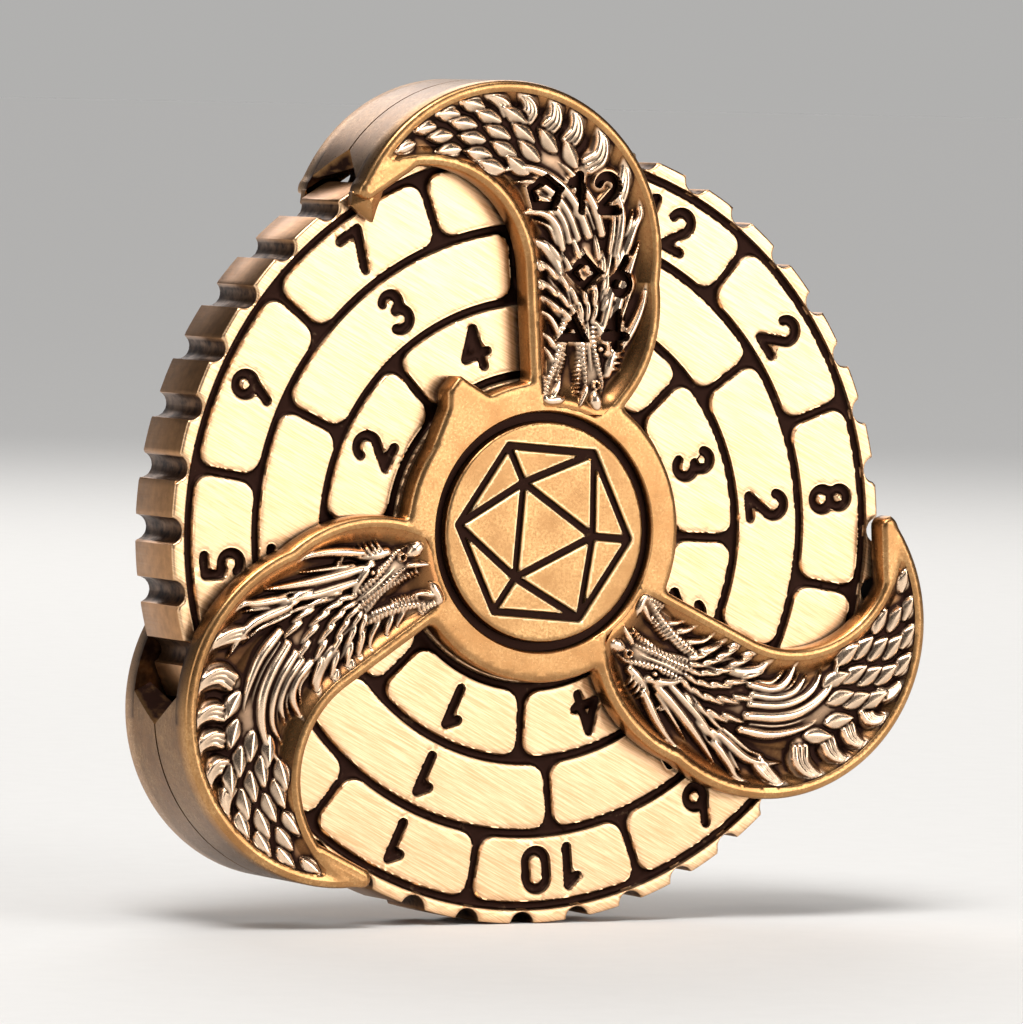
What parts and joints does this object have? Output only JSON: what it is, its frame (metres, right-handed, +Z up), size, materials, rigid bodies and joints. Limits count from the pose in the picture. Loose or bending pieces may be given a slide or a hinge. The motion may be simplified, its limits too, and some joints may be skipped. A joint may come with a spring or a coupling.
{
  "type": "three-armed spinning number counter",
  "caption": "Palm-sized metal counter: a notched wheel with rings of numbers spins on a ball bearing between the two halves of a three-armed frame with relief beasts and two pointers.",
  "frame": {"origin": "centre of the number wheel, on its spin axis at mid thickness", "axes": "+Z up as it stands on the wheel's rim, wheel axis along Y, front number face towards -Y, +X to the right seen from the front"},
  "size_m": [0.0552, 0.01, 0.056],
  "materials": {
    "antique_bronze": "antique bronze plating, satin, dark in the recesses",
    "brushed_brass": "brushed brass plating with dark brown filled engraving",
    "steel": "plain turned steel",
    "bearing_steel": "ground and polished bearing steel",
    "cage_brass": "pressed brass",
    "shield_steel": "pressed steel"
  },
  "bodies": {
    "frame": {"front_frame": "antique_bronze", "back_frame": "antique_bronze", "front_medallion": "brushed_brass", "back_medallion": "brushed_brass", "axle_post": "steel", "axle_screw": "steel", "front_shim": "steel", "back_shim": "steel", "dowel_pin_1": "steel", "dowel_pin_2": "steel", "dowel_pin_3": "steel", "bearing_inner_race": "bearing_steel"},
    "wheel": {"number_wheel": "brushed_brass", "bearing_outer_race": "bearing_steel", "front_shield": "shield_steel", "back_shield": "shield_steel", "front_shield_clip": "shield_steel", "back_shield_clip": "shield_steel"},
    "ball_set": {"bearing_cage": "cage_brass", "ball_1": "bearing_steel", "ball_2": "bearing_steel", "ball_3": "bearing_steel", "ball_4": "bearing_steel", "ball_5": "bearing_steel", "ball_6": "bearing_steel", "ball_7": "bearing_steel", "ball_8": "bearing_steel", "ball_9": "bearing_steel", "ball_10": "bearing_steel"}
  },
  "joints": [
    {"name": "wheel_spin", "type": "hinge", "parent": "frame", "child": "wheel", "pos_m": [0, 0, 0], "axis": [0, 1, 0], "continuous": true},
    {"name": "ball_set_spin", "type": "hinge", "parent": "frame", "child": "ball_set", "pos_m": [0, 0, 0], "axis": [0, 1, 0], "continuous": true}
  ],
  "couplings": [
    {"joint": "ball_set_spin", "follows": "wheel_spin", "ratio": 0.58333}
  ]
}
